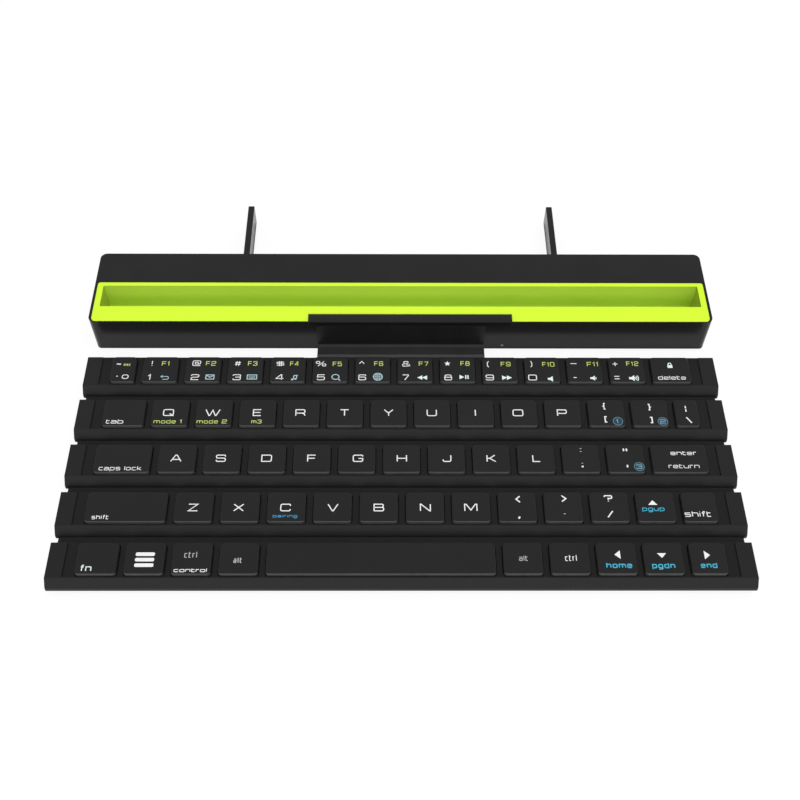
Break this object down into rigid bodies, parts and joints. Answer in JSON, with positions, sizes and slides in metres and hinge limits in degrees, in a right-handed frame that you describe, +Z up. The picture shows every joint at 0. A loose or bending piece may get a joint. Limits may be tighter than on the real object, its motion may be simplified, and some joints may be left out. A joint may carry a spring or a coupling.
{
  "type": "roll-up keyboard",
  "caption": "Black roll-up keyboard: hinged rows of keys joined by a flexible band to a stand bar with a lime device slot and swing-out rear legs.",
  "frame": {"origin": "on the table, under the middle of the opened keyboard's bounding box", "axes": "+X to the right along the rows and the longest extent, +Y from the front row to the stand bar and its legs, +Z up"},
  "size_m": [0.268, 0.1964, 0.0198],
  "materials": {
    "bar_black": "fine satin texture",
    "base_black": "satin",
    "tray_lime": "smooth, lime green",
    "clamp_black": "satin black",
    "band_black": "matt",
    "battery_foil": "foil pouch",
    "circuit_board": "solder mask",
    "socket_steel": "nickel plated",
    "led_teal": "clear lens, lit teal",
    "foot_rubber": "matt",
    "screw_steel": "zinc plated",
    "pin_steel": "ground",
    "leg_black": "semi gloss",
    "row_base_black": "satin",
    "row_black": "fine satin texture",
    "dome_silicone": "translucent white silicone",
    "strip_rubber": "matt",
    "key_black": "satin, printed legends"
  },
  "bodies": {
    "stand_bar": {"bar_housing": "bar_black", "bar_base_cover": "base_black", "device_tray": "tray_lime", "clamp_plate": "clamp_black", "link_band": "band_black", "battery": "battery_foil", "main_board": "circuit_board", "usb_socket": "socket_steel", "status_led": "led_teal", "bar_feet": "foot_rubber", "bar_screws": "screw_steel", "leg_pins": "pin_steel"},
    "left_leg": {"left_leg": "leg_black"},
    "right_leg": {"right_leg": "leg_black"},
    "row_1": {"row_1_base": "row_base_black", "row_1_frame": "row_black", "row_1_dome_sheet": "dome_silicone", "hinge_strip_1": "strip_rubber"},
    "row_2": {"row_2_base": "row_base_black", "row_2_frame": "row_black", "row_2_dome_sheet": "dome_silicone", "hinge_strip_2": "strip_rubber"},
    "row_3": {"row_3_base": "row_base_black", "row_3_frame": "row_black", "row_3_dome_sheet": "dome_silicone", "hinge_strip_3": "strip_rubber"},
    "row_4": {"row_4_base": "row_base_black", "row_4_frame": "row_black", "row_4_dome_sheet": "dome_silicone", "hinge_strip_4": "strip_rubber"},
    "row_5": {"row_5_base": "row_base_black", "row_5_frame": "row_black", "row_5_dome_sheet": "dome_silicone", "row_5_feet": "foot_rubber"},
    "esc_key": {"esc_key": "key_black"},
    "digit_keys": {"digit_keys": "key_black"},
    "delete_key": {"delete_key": "key_black"},
    "tab_key": {"tab_key": "key_black"},
    "upper_letter_keys": {"upper_letter_keys": "key_black"},
    "backslash_key": {"backslash_key": "key_black"},
    "caps_lock_key": {"caps_lock_key": "key_black"},
    "home_letter_keys": {"home_letter_keys": "key_black"},
    "enter_key": {"enter_key": "key_black"},
    "left_shift_key": {"left_shift_key": "key_black"},
    "lower_letter_keys": {"lower_letter_keys": "key_black"},
    "up_key": {"up_key": "key_black"},
    "right_shift_key": {"right_shift_key": "key_black"},
    "fn_key": {"fn_key": "key_black"},
    "menu_key": {"menu_key": "key_black"},
    "left_ctrl_key": {"left_ctrl_key": "key_black"},
    "left_alt_key": {"left_alt_key": "key_black"},
    "space_bar": {"space_bar": "key_black"},
    "right_alt_key": {"right_alt_key": "key_black"},
    "right_ctrl_key": {"right_ctrl_key": "key_black"},
    "left_key": {"left_key": "key_black"},
    "down_key": {"down_key": "key_black"},
    "right_key": {"right_key": "key_black"}
  },
  "joints": [
    {"name": "band_fold", "type": "hinge", "parent": "stand_bar", "child": "row_1", "pos_m": [0, 0.01226, 0.004], "axis": [-1, 0, 0], "range_deg": [0, 90], "deforming": ["link_band"]},
    {"name": "row_1_2_fold", "type": "hinge", "parent": "row_1", "child": "row_2", "pos_m": [0, -0.00996, 0.005], "axis": [-1, 0, 0], "range_deg": [0, 45], "deforming": ["hinge_strip_1"]},
    {"name": "row_2_3_fold", "type": "hinge", "parent": "row_2", "child": "row_3", "pos_m": [0, -0.03229, 0.005], "axis": [-1, 0, 0], "range_deg": [0, 45], "deforming": ["hinge_strip_2"]},
    {"name": "row_3_4_fold", "type": "hinge", "parent": "row_3", "child": "row_4", "pos_m": [0, -0.05461, 0.005], "axis": [-1, 0, 0], "range_deg": [0, 45], "deforming": ["hinge_strip_3"]},
    {"name": "row_4_5_fold", "type": "hinge", "parent": "row_4", "child": "row_5", "pos_m": [0, -0.07694, 0.005], "axis": [-1, 0, 0], "range_deg": [0, 45], "deforming": ["hinge_strip_4"]},
    {"name": "left_leg_swing", "type": "hinge", "parent": "stand_bar", "child": "left_leg", "pos_m": [-0.0705, 0.05846, 0.006], "axis": [0, 0, 1], "range_deg": [0, 90]},
    {"name": "right_leg_swing", "type": "hinge", "parent": "stand_bar", "child": "right_leg", "pos_m": [0.0705, 0.05846, 0.006], "axis": [0, 0, -1], "range_deg": [0, 90]},
    {"name": "esc_key_press", "type": "slide", "parent": "row_1", "child": "esc_key", "axis": [0, 0, -1], "range_m": [0, 0.0012], "stiffness_N_per_m": 400},
    {"name": "digit_keys_press", "type": "slide", "parent": "row_1", "child": "digit_keys", "axis": [0, 0, -1], "range_m": [0, 0.0012], "stiffness_N_per_m": 400},
    {"name": "delete_key_press", "type": "slide", "parent": "row_1", "child": "delete_key", "axis": [0, 0, -1], "range_m": [0, 0.0012], "stiffness_N_per_m": 400},
    {"name": "tab_key_press", "type": "slide", "parent": "row_2", "child": "tab_key", "axis": [0, 0, -1], "range_m": [0, 0.0012], "stiffness_N_per_m": 400},
    {"name": "upper_letter_keys_press", "type": "slide", "parent": "row_2", "child": "upper_letter_keys", "axis": [0, 0, -1], "range_m": [0, 0.0012], "stiffness_N_per_m": 400},
    {"name": "backslash_key_press", "type": "slide", "parent": "row_2", "child": "backslash_key", "axis": [0, 0, -1], "range_m": [0, 0.0012], "stiffness_N_per_m": 400},
    {"name": "caps_lock_key_press", "type": "slide", "parent": "row_3", "child": "caps_lock_key", "axis": [0, 0, -1], "range_m": [0, 0.0012], "stiffness_N_per_m": 400},
    {"name": "home_letter_keys_press", "type": "slide", "parent": "row_3", "child": "home_letter_keys", "axis": [0, 0, -1], "range_m": [0, 0.0012], "stiffness_N_per_m": 400},
    {"name": "enter_key_press", "type": "slide", "parent": "row_3", "child": "enter_key", "axis": [0, 0, -1], "range_m": [0, 0.0012], "stiffness_N_per_m": 400},
    {"name": "left_shift_key_press", "type": "slide", "parent": "row_4", "child": "left_shift_key", "axis": [0, 0, -1], "range_m": [0, 0.0012], "stiffness_N_per_m": 400},
    {"name": "lower_letter_keys_press", "type": "slide", "parent": "row_4", "child": "lower_letter_keys", "axis": [0, 0, -1], "range_m": [0, 0.0012], "stiffness_N_per_m": 400},
    {"name": "up_key_press", "type": "slide", "parent": "row_4", "child": "up_key", "axis": [0, 0, -1], "range_m": [0, 0.0012], "stiffness_N_per_m": 400},
    {"name": "right_shift_key_press", "type": "slide", "parent": "row_4", "child": "right_shift_key", "axis": [0, 0, -1], "range_m": [0, 0.0012], "stiffness_N_per_m": 400},
    {"name": "fn_key_press", "type": "slide", "parent": "row_5", "child": "fn_key", "axis": [0, 0, -1], "range_m": [0, 0.0012], "stiffness_N_per_m": 400},
    {"name": "menu_key_press", "type": "slide", "parent": "row_5", "child": "menu_key", "axis": [0, 0, -1], "range_m": [0, 0.0012], "stiffness_N_per_m": 400},
    {"name": "left_ctrl_key_press", "type": "slide", "parent": "row_5", "child": "left_ctrl_key", "axis": [0, 0, -1], "range_m": [0, 0.0012], "stiffness_N_per_m": 400},
    {"name": "left_alt_key_press", "type": "slide", "parent": "row_5", "child": "left_alt_key", "axis": [0, 0, -1], "range_m": [0, 0.0012], "stiffness_N_per_m": 400},
    {"name": "space_bar_press", "type": "slide", "parent": "row_5", "child": "space_bar", "axis": [0, 0, -1], "range_m": [0, 0.0012], "stiffness_N_per_m": 400},
    {"name": "right_alt_key_press", "type": "slide", "parent": "row_5", "child": "right_alt_key", "axis": [0, 0, -1], "range_m": [0, 0.0012], "stiffness_N_per_m": 400},
    {"name": "right_ctrl_key_press", "type": "slide", "parent": "row_5", "child": "right_ctrl_key", "axis": [0, 0, -1], "range_m": [0, 0.0012], "stiffness_N_per_m": 400},
    {"name": "left_key_press", "type": "slide", "parent": "row_5", "child": "left_key", "axis": [0, 0, -1], "range_m": [0, 0.0012], "stiffness_N_per_m": 400},
    {"name": "down_key_press", "type": "slide", "parent": "row_5", "child": "down_key", "axis": [0, 0, -1], "range_m": [0, 0.0012], "stiffness_N_per_m": 400},
    {"name": "right_key_press", "type": "slide", "parent": "row_5", "child": "right_key", "axis": [0, 0, -1], "range_m": [0, 0.0012], "stiffness_N_per_m": 400}
  ]
}
